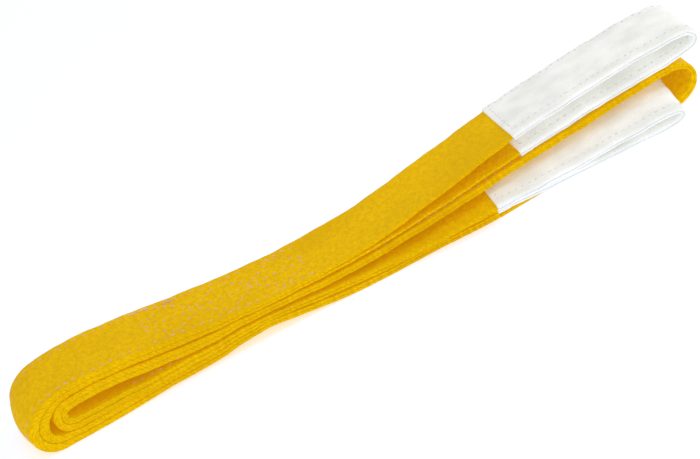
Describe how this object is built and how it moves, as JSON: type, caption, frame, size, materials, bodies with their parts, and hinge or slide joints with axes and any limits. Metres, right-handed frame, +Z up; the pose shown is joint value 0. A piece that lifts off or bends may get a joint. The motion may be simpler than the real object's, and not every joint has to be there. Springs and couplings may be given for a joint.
{
  "type": "flat web sling",
  "caption": "Two-ply flat web lifting sling in yellow webbing, rolled up flat, with a white wear sleeve on the eye at each end.",
  "frame": {"origin": "on the ground, below the middle of the folded sling's box", "axes": "+X along the folded sling towards its two eyes, +Z up, -Y the side towards which the lower eye is fanned out"},
  "size_m": [0.7661, 0.1438, 0.0731],
  "materials": {
    "yellow_webbing": "woven polyester, faint sheen",
    "white_sleeve": "dense woven polyester, matt",
    "pink_thread": "sewing thread",
    "white_thread": "sewing thread",
    "label_cloth": "coated label cloth, blank"
  },
  "bodies": {
    "folded_body": {"outer_ply": "yellow_webbing", "inner_ply": "yellow_webbing", "front_edge_seam": "pink_thread", "back_edge_seam": "pink_thread", "upper_splice_stitching": "pink_thread", "lower_splice_stitching": "pink_thread", "identification_label": "label_cloth", "label_stitching": "white_thread"},
    "upper_eye": {"upper_eye_webbing": "yellow_webbing", "upper_eye_sleeve": "white_sleeve", "upper_sleeve_front_seam": "white_thread", "upper_sleeve_back_seam": "white_thread", "upper_sleeve_end_stitching": "white_thread"},
    "lower_eye": {"lower_eye_webbing": "yellow_webbing", "lower_eye_sleeve": "white_sleeve", "lower_sleeve_front_seam": "white_thread", "lower_sleeve_back_seam": "white_thread", "lower_sleeve_end_stitching": "white_thread"}
  },
  "joints": [
    {"name": "upper_eye_lift", "type": "hinge", "parent": "folded_body", "child": "upper_eye", "pos_m": [-0.0525, 0.0097, 0.0348], "axis": [0, -1, 0], "range_deg": [0, 50]},
    {"name": "lower_eye_swing", "type": "hinge", "parent": "folded_body", "child": "lower_eye", "pos_m": [-0.0925, -0.0383, 0.016], "axis": [0, 0, -1], "range_deg": [0, 12]}
  ]
}
